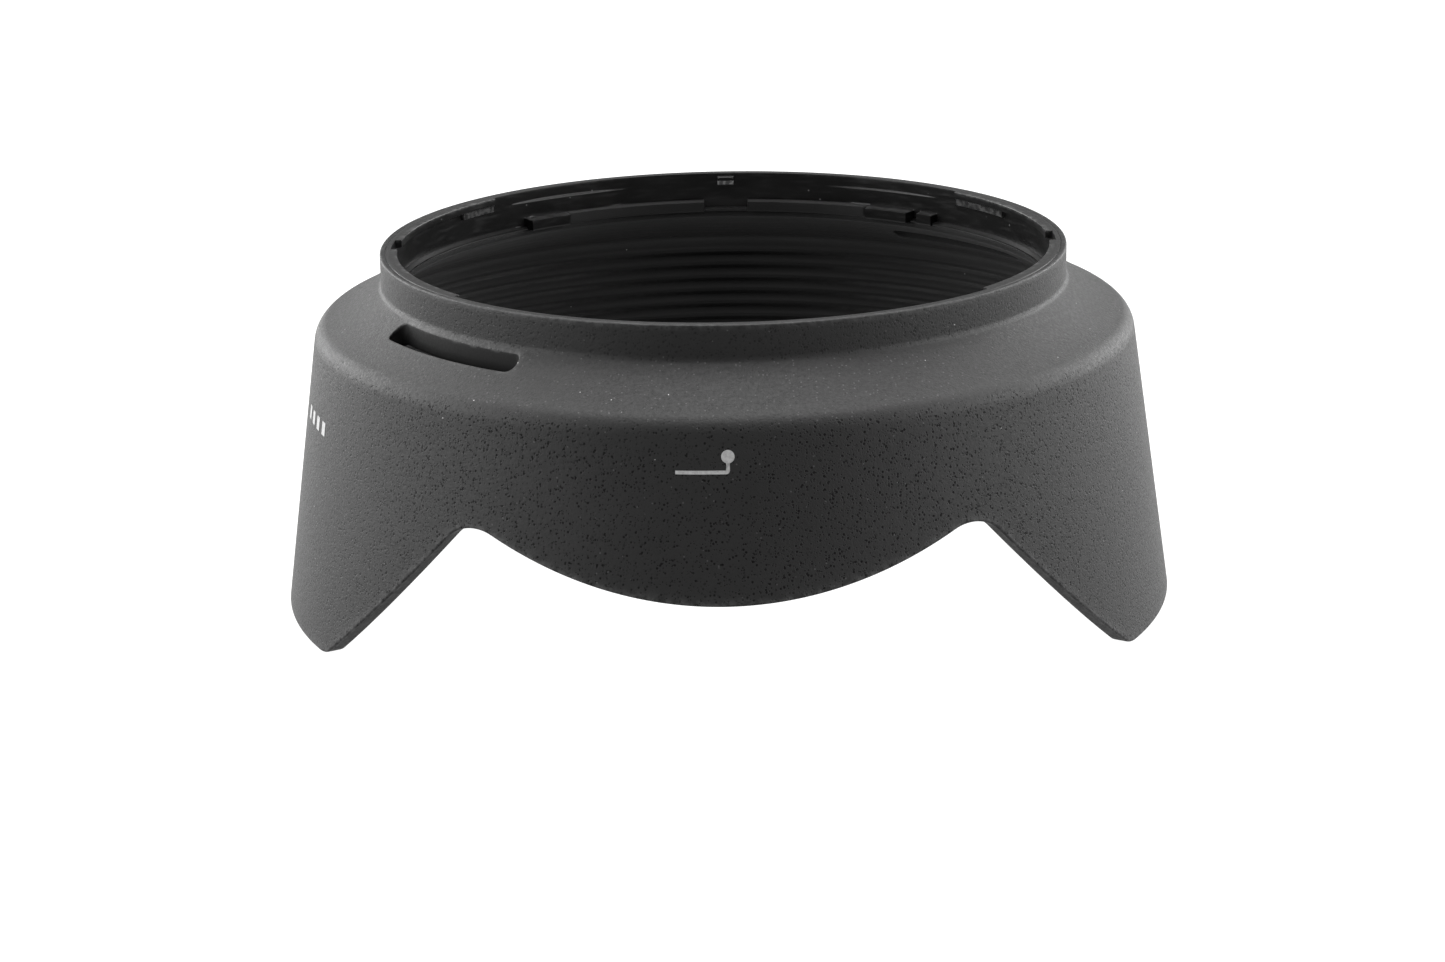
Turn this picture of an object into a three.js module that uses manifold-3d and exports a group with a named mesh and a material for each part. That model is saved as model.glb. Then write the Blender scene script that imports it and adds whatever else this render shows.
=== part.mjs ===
// Petal lens hood with a bayonet collar, standing on its two long petals with the lens side up.
// Millimetres, +Z up. The origin is the centre of the circle that the long petals stand on.
// Angles run round Z from the front (-Y) towards the right (+X), in degrees.
import * as THREE from "three";
import { mergeVertices } from "three/addons/utils/BufferGeometryUtils.js";
import Module from "manifold-3d";

// Overall shape of the shell
const COLLAR_RADIUS = 42; // outside of the collar, the driving size
const HEIGHT = 43.3; // from the feet of the long petals to the rim of the collar
const BASE_RADIUS = 55.2; // outside of the cone at the feet
const CONE_SLOPE = 0.1455; // radius lost for each millimetre of height
const WALL = 2.2; // wall of the cone, measured along the radius
const COLLAR_BASE_Z = 39.2; // where the collar meets the shoulder
const SHOULDER_EDGE_Z = 34.5; // where the shoulder meets the cone
const SHOULDER_HOLLOW = 0.25; // how far the middle of the shoulder lies below a straight line
const COLLAR_BASE_ROUND = 1.0;
const SHOULDER_EDGE_ROUND = 2.8;
const RIM_ROUND = 0.2;
const LEDGE_STEP = 0.3; // how far the ledge under the ring stands back from the ring's lip
const LEDGE_DROP = 0.8; // height of the ledge's edge
const FUNNEL_FOOT_Z = 32.6; // where the funnel below the ledge meets the inside of the cone

// Petals, drawn as they are seen from the front and cut straight towards the axis
const SHORT_PETAL_Z = 14.3; // lowest point of the front and rear petals
const SHORT_PETAL_ARC = 58.5; // radius of their lower edge
const FLANK_FOOT_X = 47.8; // where a long petal's sloping flank would meet the ground
const FLANK_RISE = 1.1445; // height gained for each millimetre towards the middle
const NOTCH_ROUND = 4.2; // radius at the top of each notch
const FOOT_ROUND = 2.0; // radius at the corners of the feet

// Light baffles inside the cone
const BAFFLE_COUNT = 6;
const BAFFLE_TOP_Z = 31.2;
const BAFFLE_PITCH = 1.92;
const BAFFLE_DEPTH = 0.32;
const BAFFLE_GROOVE = 0.62; // share of the pitch that each groove takes

// Slots through the shoulder that let the collar wall give as the hood clicks home
const SLOT_INNER_RADIUS = 42.5;
const SLOT_OUTER_RADIUS = 44.9;
const SLOT_CENTRE = -46.2;
const SLOT_SPAN = 29.2;
const SLOT_ROUND = 1.0;

// Bayonet ring, seated in the collar
const RING_OUTER_RADIUS = 41.3;
const RING_FIT = 0.1; // gap between the ring and the shell
const RING_BORE_RADIUS = 40.7;
const RING_FLOOR_Z = 38.2;
const LIP_RADIUS = 39.9; // the lip that ends the ring below
const LIP_THICKNESS = 0.35;

// Raised blocks in the ring's bore: their inner radius, and where they begin and end in degrees from
// the middle of the back, positive towards +X. Each is there twice, half a turn apart.
const LUGS = [
  { inner: 39.9, from: 48.8, to: 86.5 },
  { inner: 39.9, from: -86.5, to: -48.8 },
];
const LUG_THICKNESS = 1.0;
const RAMPS = [ // under one end of each lug
  { inner: 40.25, from: 48.8, to: 62.5 },
  { inner: 40.25, from: -57.3, to: -48.8 },
];
const RAMP_DROP = 1.9; // how far the ramps reach below the rim
const PADS = [
  { inner: 40.6, from: 19, to: 44 },
  { inner: 40.4, from: -44, to: -19 },
];
const PAD_TOP_Z = 41.8;
const STOPS = [ // a ledge on each side with a thicker block at its end, and a key beyond the right one
  { inner: 39.6, from: 4.2, to: 38 },
  { inner: 38.9, from: 28.5, to: 38 },
  { inner: 39.6, from: 39.6, to: 43.3 },
  { inner: 39.6, from: -41, to: -4.2 },
  { inner: 38.9, from: -41, to: -32 },
];
const STOP_TOP_Z = 39.6;
const NIB = { inner: 40.35, from: -1.5, to: 1.5, low: 41.7, high: 42.8 }; // at the back only

// Printed marks on the outside of the cone
const INK_THICKNESS = 0.12;
const INK_LIFT = 0.02; // clearance between the ink and the faceted cone
const DOT = { angle: 0.85, z: 30.83, radius: 0.73 };
const LEADER = { from: -5.62, to: 1.07, z: 29.12, line: 0.39 };
const TICK = { count: 4, first: -67.4, step: -2.9, width: 1.3, low: 24.8, high: 26.4 };

// Colours and gloss
const TEXTURED_BLACK = { color: 0x232325, roughness: 0.72 };
const SMOOTH_BLACK = { color: 0x101011, roughness: 0.34 };
const PRINT_GREY = { color: 0xa8a8aa, roughness: 0.6 };

// How finely the curves are cut
const SEGMENTS = 72; // round the whole hood
const BLOCK_STEP = 2.5; // degrees between the columns of a block
const PRINT_STEP = 1; // degrees between the columns of a printed mark
const ROUND_STEPS = { shoulderEdge: 5, collarBase: 3, rim: 2, foot: 4, notch: 6 };
const SHORT_PETAL_STEPS = 14;
const FLANK_STEPS = 7;
const DOT_STEPS = 12;
const SLOT_CURVE_STEPS = 4;

const OVERSHOOT = 1; // how far a cutter runs past the surface that it opens
const SAME_POINT = 1e-4; // points closer than this are one
const DEGREE = Math.PI / 180;

const wasm = await Module();
wasm.setup();

const coneRadius = (z) => BASE_RADIUS - CONE_SLOPE * z;
const point = (radius, z) => new THREE.Vector2(radius, z);

// A place on a circle round Z, with the angle measured from the front.
function place(radius, angle, z) {
  return [radius * Math.sin(angle * DEGREE), -radius * Math.cos(angle * DEGREE), z];
}

// A closed geometry as a solid that can be joined and cut.
function solid(geometry) {
  const bare = new THREE.BufferGeometry();
  bare.setAttribute("position", geometry.getAttribute("position"));
  bare.setIndex(geometry.getIndex());
  const merged = mergeVertices(bare, SAME_POINT);
  return new wasm.Manifold(
    new wasm.Mesh({
      numProp: 3,
      vertProperties: new Float32Array(merged.attributes.position.array),
      triVerts: new Uint32Array(merged.index.array),
    }),
  );
}

// The arc that rounds the corner of a profile between two neighbouring points.
function rounded(before, corner, after, radius, steps) {
  const back = before.clone().sub(corner).normalize();
  const on = after.clone().sub(corner).normalize();
  const half = Math.acos(back.dot(on)) / 2;
  const middle = back.clone().add(on).normalize();
  const centre = corner.clone().addScaledVector(middle, radius / Math.sin(half));
  const start = corner.clone().addScaledVector(back, radius / Math.tan(half)).sub(centre);
  const end = corner.clone().addScaledVector(on, radius / Math.tan(half)).sub(centre);
  let sweep = end.angle() - start.angle();
  if (sweep > Math.PI) sweep -= 2 * Math.PI;
  if (sweep < -Math.PI) sweep += 2 * Math.PI;
  const arc = [];
  for (let i = 0; i <= steps; i++) {
    const turn = start.angle() + (sweep * i) / steps;
    arc.push(point(centre.x + radius * Math.cos(turn), centre.y + radius * Math.sin(turn)));
  }
  return arc;
}

// A closed profile of radius and height, turned round Z.
function turned(profile) {
  const lathe = new THREE.LatheGeometry([...profile, profile[0].clone()], SEGMENTS);
  return solid(lathe.rotateX(Math.PI / 2));
}

// A block that follows a circle round Z: columns of material, each at its own angle and between
// its own two heights, from one radius to another. Both radii are functions of the height.
function curvedBlock(columns, innerRadius, outerRadius) {
  const positions = [];
  for (const { angle, low, high } of columns) {
    positions.push(...place(innerRadius(low), angle, low));
    positions.push(...place(outerRadius(low), angle, low));
    positions.push(...place(outerRadius(high), angle, high));
    positions.push(...place(innerRadius(high), angle, high));
  }
  const triangles = [0, 1, 2, 0, 2, 3];
  for (let column = 1; column < columns.length; column++) {
    for (let side = 0; side < 4; side++) {
      const next = (side + 1) % 4;
      const here = 4 * (column - 1);
      const there = 4 * column;
      triangles.push(here + side, there + side, there + next);
      triangles.push(here + side, there + next, here + next);
    }
  }
  const last = 4 * (columns.length - 1);
  triangles.push(last, last + 2, last + 1, last, last + 3, last + 2);
  const geometry = new THREE.BufferGeometry();
  geometry.setAttribute("position", new THREE.Float32BufferAttribute(positions, 3));
  geometry.setIndex(triangles);
  return solid(geometry);
}

// Columns of one height range, spread evenly over a range of angles.
function evenColumns(from, to, low, high, step) {
  const count = Math.max(1, Math.ceil(Math.abs(to - from) / step));
  const columns = [];
  for (let i = 0; i <= count; i++) {
    columns.push({ angle: from + ((to - from) * i) / count, low, high });
  }
  return columns;
}

// A raised block in the ring's bore, at the back or, half a turn on, at the front.
function boreBlock({ inner, from, to }, low, high, turn) {
  const root = (RING_BORE_RADIUS + RING_OUTER_RADIUS) / 2;
  const columns = evenColumns(180 + turn - to, 180 + turn - from, low, high, BLOCK_STEP);
  return curvedBlock(columns, () => inner, () => root);
}

// Outline of one half of a notch and its neighbours, as seen from the front: the arc of the short
// petal, the round at the top of the notch, the straight flank and the round at the foot.
function petalEdge() {
  const slant = Math.hypot(1, FLANK_RISE);
  const along = point(-1 / slant, FLANK_RISE / slant); // up the flank, towards the middle
  const into = point(-FLANK_RISE / slant, -1 / slant); // from the flank into the notch
  const foot = point(FLANK_FOOT_X, 0);
  const arcCentre = point(0, SHORT_PETAL_Z + SHORT_PETAL_ARC);
  // The centre of the notch round lies at its radius from the flank and from the arc.
  const start = foot.clone().addScaledVector(into, NOTCH_ROUND).sub(arcCentre);
  const b = start.dot(along);
  const c = start.lengthSq() - (SHORT_PETAL_ARC + NOTCH_ROUND) ** 2;
  const climb = -b - Math.sqrt(b * b - c);
  const notchCentre = start.addScaledVector(along, climb).add(arcCentre);

  const edge = [];
  const toNotch = notchCentre.clone().sub(arcCentre).normalize();
  const arcEnd = Math.asin(toNotch.x);
  for (let i = 0; i < SHORT_PETAL_STEPS; i++) {
    const turn = (arcEnd * i) / SHORT_PETAL_STEPS;
    edge.push(point(
      arcCentre.x + SHORT_PETAL_ARC * Math.sin(turn),
      arcCentre.y - SHORT_PETAL_ARC * Math.cos(turn),
    ));
  }
  const roundStart = Math.PI / 2 + arcEnd;
  const roundEnd = Math.atan2(-into.y, -into.x);
  for (let i = 0; i <= ROUND_STEPS.notch; i++) {
    const turn = roundStart + ((roundEnd - roundStart) * i) / ROUND_STEPS.notch;
    edge.push(point(
      notchCentre.x + NOTCH_ROUND * Math.cos(turn),
      notchCentre.y + NOTCH_ROUND * Math.sin(turn),
    ));
  }
  const flankTop = edge[edge.length - 1];
  const alongGround = point(2 * FLANK_FOOT_X, 0);
  const footRound = rounded(flankTop, foot, alongGround, FOOT_ROUND, ROUND_STEPS.foot);
  for (let i = 1; i < FLANK_STEPS; i++) {
    edge.push(flankTop.clone().lerp(footRound[0], i / FLANK_STEPS));
  }
  return [...edge, ...footRound.slice(0, -1), point(footRound.at(-1).x, -OVERSHOOT / 2)];
}

// Everything that is cut away below the edge of a short petal and between the long ones.
function petalGap(turn) {
  const half = petalEdge().map(({ x, y }) => ({
    angle: Math.asin(x / coneRadius(Math.max(y, 0))) / DEGREE,
    low: -OVERSHOOT,
    high: y,
  }));
  const mirrored = half.slice(1).reverse().map((c) => ({ ...c, angle: -c.angle }));
  const columns = [...mirrored, ...half].map((c) => ({ ...c, angle: c.angle + turn }));
  return curvedBlock(columns, () => COLLAR_RADIUS, () => BASE_RADIUS + 4 * OVERSHOOT);
}

// A slot that follows the collar, with rounded corners, through the whole shoulder.
function shoulderSlot(centre) {
  const from = (centre - SLOT_SPAN / 2 - 90) * DEGREE;
  const to = (centre + SLOT_SPAN / 2 - 90) * DEGREE;
  const outer = SLOT_OUTER_RADIUS - SLOT_ROUND;
  const inner = SLOT_INNER_RADIUS + SLOT_ROUND;
  const outerTurn = Math.asin(SLOT_ROUND / outer);
  const innerTurn = Math.asin(SLOT_ROUND / inner);
  const corner = (shape, radius, angle, start, end) =>
    shape.absarc(radius * Math.cos(angle), radius * Math.sin(angle), SLOT_ROUND, start, end, false);
  const shape = new THREE.Shape();
  shape.absarc(0, 0, SLOT_OUTER_RADIUS, from + outerTurn, to - outerTurn, false);
  corner(shape, outer, to - outerTurn, to - outerTurn, to + Math.PI / 2);
  corner(shape, inner, to - innerTurn, to + Math.PI / 2, to - innerTurn + Math.PI);
  shape.absarc(0, 0, SLOT_INNER_RADIUS, to - innerTurn, from + innerTurn, true);
  corner(shape, inner, from + innerTurn, from + innerTurn + Math.PI, from + 1.5 * Math.PI);
  corner(shape, outer, from + outerTurn, from + 1.5 * Math.PI, from + outerTurn + 2 * Math.PI);
  const low = FUNNEL_FOOT_Z - OVERSHOOT;
  const slot = new THREE.ExtrudeGeometry(shape, {
    depth: HEIGHT + OVERSHOOT - low,
    bevelEnabled: false,
    curveSegments: SLOT_CURVE_STEPS,
  });
  return solid(slot.translate(0, 0, low));
}

// The shell's profile: out along the cone, over the shoulder, up the collar and back inside.
function shellProfile() {
  const foot = point(BASE_RADIUS, 0);
  const edge = point(coneRadius(SHOULDER_EDGE_Z), SHOULDER_EDGE_Z);
  const collarBase = point(COLLAR_RADIUS, COLLAR_BASE_Z);
  const middle = point((edge.x + collarBase.x) / 2, (edge.y + collarBase.y) / 2 - SHOULDER_HOLLOW);
  const rim = point(COLLAR_RADIUS, HEIGHT);
  const seatRadius = RING_OUTER_RADIUS + RING_FIT;
  const rimInside = point(seatRadius, HEIGHT);
  const seatZ = RING_FLOOR_Z - RING_FIT;
  const outside = [
    foot,
    ...rounded(foot, edge, middle, SHOULDER_EDGE_ROUND, ROUND_STEPS.shoulderEdge),
    middle,
    ...rounded(middle, collarBase, rim, COLLAR_BASE_ROUND, ROUND_STEPS.collarBase),
    ...rounded(collarBase, rim, rimInside, RIM_ROUND, ROUND_STEPS.rim),
    rimInside,
  ];
  const ledgeRadius = LIP_RADIUS + LEDGE_STEP;
  const inset = (z) => coneRadius(z) - WALL;
  const ledgeAndFunnel = [
    point(seatRadius, seatZ),
    point(ledgeRadius, seatZ),
    point(ledgeRadius, seatZ - LEDGE_DROP),
    point(inset(FUNNEL_FOOT_Z), FUNNEL_FOOT_Z),
  ];
  const baffles = [];
  const groove = BAFFLE_GROOVE * BAFFLE_PITCH;
  for (let i = 0; i < BAFFLE_COUNT; i++) {
    const top = BAFFLE_TOP_Z - i * BAFFLE_PITCH;
    baffles.push(point(inset(top), top));
    baffles.push(point(inset(top - groove / 2) + BAFFLE_DEPTH, top - groove / 2));
    baffles.push(point(inset(top - groove), top - groove));
  }
  return [...outside, ...ledgeAndFunnel, ...baffles, point(inset(0), 0)];
}

function shell() {
  return turned(shellProfile())
    .subtract(petalGap(0))
    .subtract(petalGap(180))
    .subtract(shoulderSlot(SLOT_CENTRE))
    .subtract(shoulderSlot(SLOT_CENTRE + 180));
}

// The bayonet ring: a thin sleeve with a lip below, four lugs at the rim, and the stops.
function bayonetRing() {
  const profile = [
    point(RING_OUTER_RADIUS, RING_FLOOR_Z),
    point(RING_OUTER_RADIUS, HEIGHT),
    point(RING_BORE_RADIUS, HEIGHT),
    point(RING_BORE_RADIUS, RING_FLOOR_Z + LIP_THICKNESS),
    point(LIP_RADIUS, RING_FLOOR_Z + LIP_THICKNESS),
    point(LIP_RADIUS, RING_FLOOR_Z),
  ];
  const inLip = RING_FLOOR_Z + LIP_THICKNESS / 2;
  const kinds = [
    [LUGS, HEIGHT - LUG_THICKNESS, HEIGHT],
    [RAMPS, HEIGHT - RAMP_DROP, HEIGHT - LUG_THICKNESS / 2],
    [PADS, inLip, PAD_TOP_Z],
    [STOPS, inLip, STOP_TOP_Z],
  ];
  let ring = turned(profile).add(boreBlock(NIB, NIB.low, NIB.high, 0));
  for (const [blocks, low, high] of kinds) {
    for (const block of blocks) {
      ring = ring.add(boreBlock(block, low, high, 0)).add(boreBlock(block, low, high, 180));
    }
  }
  return ring;
}

const inkBack = (z) => coneRadius(z) + INK_LIFT;
const inkFront = (z) => coneRadius(z) + INK_LIFT + INK_THICKNESS;
const degreesOf = (length, z) => length / coneRadius(z) / DEGREE;

// The alignment mark: a dot with a line that drops from it and turns towards the left.
function indexMark() {
  const dot = [];
  const dotReach = 0.985; // the dot's outermost columns stand just inside its edge, so they have height
  for (let i = 0; i <= DOT_STEPS; i++) {
    const across = dotReach * Math.cos(Math.PI * (1 - i / DOT_STEPS));
    const half = DOT.radius * Math.sqrt(1 - across * across);
    const angle = DOT.angle + degreesOf(DOT.radius * across, DOT.z);
    dot.push({ angle, low: DOT.z - half, high: DOT.z + half });
  }
  const low = LEADER.z - LEADER.line / 2;
  const high = LEADER.z + LEADER.line / 2;
  const stem = LEADER.to - degreesOf(LEADER.line, LEADER.z);
  const stemStep = 0.02; // degrees over which the line rises to the stem
  const cornerCut = LEADER.line / 3;
  const leader = evenColumns(LEADER.from, stem, low, high, PRINT_STEP);
  leader.push({ angle: stem + stemStep, low, high: DOT.z });
  leader.push({ angle: LEADER.to, low: low + cornerCut, high: DOT.z });
  return curvedBlock(dot, inkBack, inkFront).add(curvedBlock(leader, inkBack, inkFront));
}

function tick(index) {
  const middle = TICK.first + index * TICK.step;
  const half = degreesOf(TICK.width, TICK.low) / 2;
  const columns = evenColumns(middle - half, middle + half, TICK.low, TICK.high, PRINT_STEP);
  return curvedBlock(columns, inkBack, inkFront);
}

// A named mesh with a material of its own.
function part(name, made, { color, roughness }) {
  const { vertProperties, triVerts, numProp } = made.getMesh();
  const positions = new Float32Array((vertProperties.length / numProp) * 3);
  for (let i = 0; i < positions.length / 3; i++) {
    positions.set(vertProperties.subarray(i * numProp, i * numProp + 3), i * 3);
  }
  const geometry = new THREE.BufferGeometry();
  geometry.setAttribute("position", new THREE.BufferAttribute(positions, 3));
  geometry.setIndex(new THREE.BufferAttribute(triVerts, 1));
  geometry.computeVertexNormals();
  const material = new THREE.MeshStandardMaterial({ color, roughness, metalness: 0 });
  const mesh = new THREE.Mesh(geometry, material);
  mesh.name = name;
  return mesh;
}

const hood = new THREE.Group();
hood.name = "lens_hood";
hood.add(part("petal_shell", shell(), TEXTURED_BLACK));
hood.add(part("bayonet_ring", bayonetRing(), SMOOTH_BLACK));
hood.add(part("index_mark", indexMark(), PRINT_GREY));
for (let i = 0; i < TICK.count; i++) {
  hood.add(part("side_tick_" + (i + 1), tick(i), PRINT_GREY));
}

export default hood;
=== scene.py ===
import math

import bpy
import numpy as np
from mathutils import Matrix, Vector
from mathutils.geometry import delaunay_2d_cdt


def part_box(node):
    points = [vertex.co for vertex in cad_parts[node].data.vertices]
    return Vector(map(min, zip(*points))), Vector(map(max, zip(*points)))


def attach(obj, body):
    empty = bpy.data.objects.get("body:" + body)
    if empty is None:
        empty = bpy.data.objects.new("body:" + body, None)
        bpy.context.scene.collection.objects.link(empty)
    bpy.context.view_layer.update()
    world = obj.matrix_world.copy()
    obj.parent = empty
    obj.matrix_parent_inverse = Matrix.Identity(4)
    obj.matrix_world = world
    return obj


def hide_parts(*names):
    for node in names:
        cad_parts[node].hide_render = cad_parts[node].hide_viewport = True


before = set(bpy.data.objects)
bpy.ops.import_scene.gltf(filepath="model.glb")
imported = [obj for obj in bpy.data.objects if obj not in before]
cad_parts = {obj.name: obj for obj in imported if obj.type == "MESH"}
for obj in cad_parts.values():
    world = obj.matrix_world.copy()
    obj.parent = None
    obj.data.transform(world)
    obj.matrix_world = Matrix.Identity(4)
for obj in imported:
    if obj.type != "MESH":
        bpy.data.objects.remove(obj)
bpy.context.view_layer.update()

MM = 0.001
TOLERANCE = 0.01  # keeps comparisons of millimetres clear of rounding


def box_mm(node):
    """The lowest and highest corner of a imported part, in millimetres."""
    low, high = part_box(node)
    return np.array(low) / MM, np.array(high) / MM


# ---------------------------------------------------------------- sizes, in millimetres

_, shell_high = box_mm("petal_shell")
ring_low, ring_high = box_mm("bayonet_ring")

HEIGHT = shell_high[2]
BASE_RADIUS = shell_high[0]  # outside of the cone at the feet
RING_FLOOR_Z = ring_low[2]
RING_OUTER_RADIUS = ring_high[0]

COLLAR_RADIUS = 42.0  # outside of the collar
CONE_SLOPE = 0.1455  # radius lost for each millimetre of height
WALL = 2.2
COLLAR_BASE_Z = 39.2
SHOULDER_EDGE_Z = 34.5
SHOULDER_HOLLOW = 0.25  # how far the shoulder sags below a straight cone
COLLAR_BASE_ROUND = 1.0
SHOULDER_EDGE_ROUND = 2.8
RIM_ROUND = 0.2
EDGE_ROUND = 0.28  # on the lower edge of the petals
HAIRLINE = 0.02  # what shows between the collar and the bayonet ring

SHORT_PETAL_Z = 14.3
SHORT_PETAL_ARC = 58.5  # radius of a short petal's lower edge
FLANK_FOOT_X = 47.8
FLANK_RISE = 1.1445  # height gained for each millimetre inwards along a long petal's flank
NOTCH_ROUND = 4.2
FOOT_ROUND = 2.0

BAFFLE_COUNT = 6
BAFFLE_TOP_Z = 31.2
BAFFLE_PITCH = 1.92
BAFFLE_DEPTH = 0.32
BAFFLE_GROOVE = 0.62  # share of the pitch that each groove takes
BAFFLE_SOFTNESS = 1.4  # above 1, a groove starts and ends more gently than a half wave
BAFFLE_SQUEEZE_Z = 22.0  # below this the lowest baffle runs out towards the notches
BAFFLE_CLEARANCE = 0.6  # plain wall between the lowest baffle and the cut edge
BAFFLE_BLEND = 0.5

SLOT_INNER_RADIUS = 42.5
SLOT_OUTER_RADIUS = 44.9
SLOT_RADIUS = (SLOT_INNER_RADIUS + SLOT_OUTER_RADIUS) / 2
SLOT_CENTRE = -46.2
SLOT_SPAN = 29.2
SLOT_ROUND = 1.0
SLOT_EDGE_ROUND = 0.18
SLOT_MARGIN = 0.75  # how far round a slot the surface is meshed again
COLLAR_MARGIN = 0.12  # and how near to the collar's wall that may come

RING_BORE_RADIUS = 40.7
LIP_RADIUS = 39.9
LIP_TOP_Z = RING_FLOOR_Z + 0.35
SEAT_ROUND = 0.06  # inside the top of the collar, where the ring goes in
LEDGE_STEP = 0.3  # how far the shell's ledge stands back from the ring's lip
LEDGE_DROP = 0.8
LEDGE_ROUND = 0.1
THROAT_ROUND = 0.25  # between the ledge and the funnel below it
FUNNEL_FOOT_Z = 32.6  # where the funnel meets the cone
FUNNEL_FOOT_ROUND = 2.2

# How finely the shell is made: columns round it, and steps along its section.
COLUMNS = 900
SHELL_ANGLES = np.arange(COLUMNS) * 360.0 / COLUMNS
EDGE_STEPS = 5
CONE_STEPS = 22
INSIDE_STEPS = 14
TOP_EDGE_LOOPS = 5  # rows over a slot's upper edge

# How far the wear and its painted highlight reach from the cut edge, outside and inside, and from
# the rim.
OUTSIDE_WEAR_AND_HIGHLIGHT_REACH = 0.35
INSIDE_WEAR_AND_HIGHLIGHT_REACH = 0.3
RIM_WEAR_AND_HIGHLIGHT_REACH = 0.1


# ---------------------------------------------------------------- profiles, radius and height


def cone_radius(z):
    return BASE_RADIUS - CONE_SLOPE * z


def inside_radius(z):
    return cone_radius(z) - WALL


def arc(centre, radius, start, end, steps):
    """Points on a circle between two angles in radians, both ends included."""
    turn = np.linspace(start, end, steps + 1)
    return np.stack([centre[0] + radius * np.cos(turn), centre[1] + radius * np.sin(turn)], 1)


def line(start, end, steps):
    """Points on a straight line, without its two ends."""
    share = np.linspace(0, 1, steps + 1)[1:-1, None]
    return np.asarray(start) * (1 - share) + np.asarray(end) * share


def heading(centre, towards):
    return math.atan2(towards[1] - centre[1], towards[0] - centre[0])


def on_line_at_distance(origin, direction, centre, distance):
    """Where a line first comes to a distance from a centre."""
    offset = origin - centre
    along = offset @ direction
    reach = math.sqrt(along * along - offset @ offset + distance * distance)
    return origin + direction * (-along - reach)


def rounded_corner(before, corner, after, radius, steps):
    """The arc that takes the place of a corner."""
    before, corner, after = (np.asarray(p, float) for p in (before, corner, after))
    back = (before - corner) / np.linalg.norm(before - corner)
    on = (after - corner) / np.linalg.norm(after - corner)
    half = math.acos(back @ on) / 2
    middle = (back + on) / np.linalg.norm(back + on)
    centre = corner + middle * radius / math.sin(half)
    start = heading(centre, corner + back * radius / math.tan(half))
    end = heading(centre, corner + on * radius / math.tan(half))
    sweep = (end - start + math.pi) % (2 * math.pi) - math.pi
    return arc(centre, radius, start, start + sweep, steps)


def shoulder_profile():
    """Up from the cone, over the hollow shoulder, up the collar and over the rim."""
    edge = np.array([cone_radius(SHOULDER_EDGE_Z), SHOULDER_EDGE_Z])
    base = np.array([COLLAR_RADIUS, COLLAR_BASE_Z])
    chord = np.linalg.norm(edge - base)
    hollow_radius = chord**2 / (8 * SHOULDER_HOLLOW) + SHOULDER_HOLLOW / 2
    outward = np.array([base[1] - edge[1], edge[0] - base[0]]) / chord
    hollow = (edge + base) / 2 + outward * (hollow_radius - SHOULDER_HOLLOW)

    up_cone = np.array([-CONE_SLOPE, 1.0]) / math.hypot(1, CONE_SLOPE)
    into_wall = np.array([-up_cone[1], up_cone[0]])
    start = edge + into_wall * SHOULDER_EDGE_ROUND
    reach = hollow_radius + SHOULDER_EDGE_ROUND
    edge_centre = on_line_at_distance(start, up_cone, hollow, reach)
    base_line = base + np.array([COLLAR_BASE_ROUND, 0])
    reach = hollow_radius - COLLAR_BASE_ROUND
    base_centre = on_line_at_distance(base_line, np.array([0, 1.0]), hollow, reach)

    edge_start = heading(edge_centre, edge_centre - into_wall)
    edge_end = heading(edge_centre, hollow)
    hollow_start = heading(hollow, edge_centre)
    hollow_end = heading(hollow, base_centre)
    over_edge = arc(edge_centre, SHOULDER_EDGE_ROUND, edge_start, edge_end, steps=12)
    along_shoulder = arc(hollow, hollow_radius, hollow_start, hollow_end, steps=24)
    up_collar = arc(base_centre, COLLAR_BASE_ROUND, hollow_end, -math.pi, steps=8)
    collar_top = (COLLAR_RADIUS, HEIGHT)
    rim = rounded_corner(base, collar_top, (RING_OUTER_RADIUS, HEIGHT), RIM_ROUND, steps=5)
    wall = line(up_collar[-1], rim[0], steps=6)
    return np.concatenate([over_edge, along_shoulder[1:-1], up_collar, wall, rim])


def baffle_profile():
    """Down the inside past the light baffles: smooth grooves cut into the cone, from the top."""
    points = []
    steps = 8
    for index in range(BAFFLE_COUNT):
        top = BAFFLE_TOP_Z - index * BAFFLE_PITCH
        for step in range(steps + 1):
            share = step / steps
            z = top - share * BAFFLE_GROOVE * BAFFLE_PITCH
            depth = BAFFLE_DEPTH * math.sin(math.pi * share) ** BAFFLE_SOFTNESS
            points.append((inside_radius(z) + depth, z))
    return np.array(points)


def lining_profile():
    """From the rim down the seat of the ring, under its lip, down the funnel to the baffles."""
    seat_radius = RING_OUTER_RADIUS + HAIRLINE
    ledge_radius = LIP_RADIUS + LEDGE_STEP
    ledge_z = RING_FLOOR_Z - HAIRLINE
    seat = (seat_radius, ledge_z)
    seat_top = (seat_radius, HEIGHT)
    ledge_top = (ledge_radius, ledge_z)
    ledge_foot = (ledge_radius, ledge_z - LEDGE_DROP)
    funnel_foot = (inside_radius(FUNNEL_FOOT_Z), FUNNEL_FOOT_Z)
    baffle_top = (inside_radius(BAFFLE_TOP_Z), BAFFLE_TOP_Z)

    rim_inside = rounded_corner((COLLAR_RADIUS, HEIGHT), seat_top, seat, SEAT_ROUND, steps=3)
    ledge = rounded_corner(seat, ledge_top, ledge_foot, LEDGE_ROUND, steps=2)
    throat = rounded_corner(ledge[-1], ledge_foot, funnel_foot, THROAT_ROUND, steps=3)
    bend = rounded_corner(throat[-1], funnel_foot, baffle_top, FUNNEL_FOOT_ROUND, steps=8)
    return np.concatenate([
        rim_inside,
        line(rim_inside[-1], seat, steps=5),
        [seat],
        ledge,
        throat,
        line(throat[-1], bend[0], steps=24),
        bend,
    ])


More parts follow.
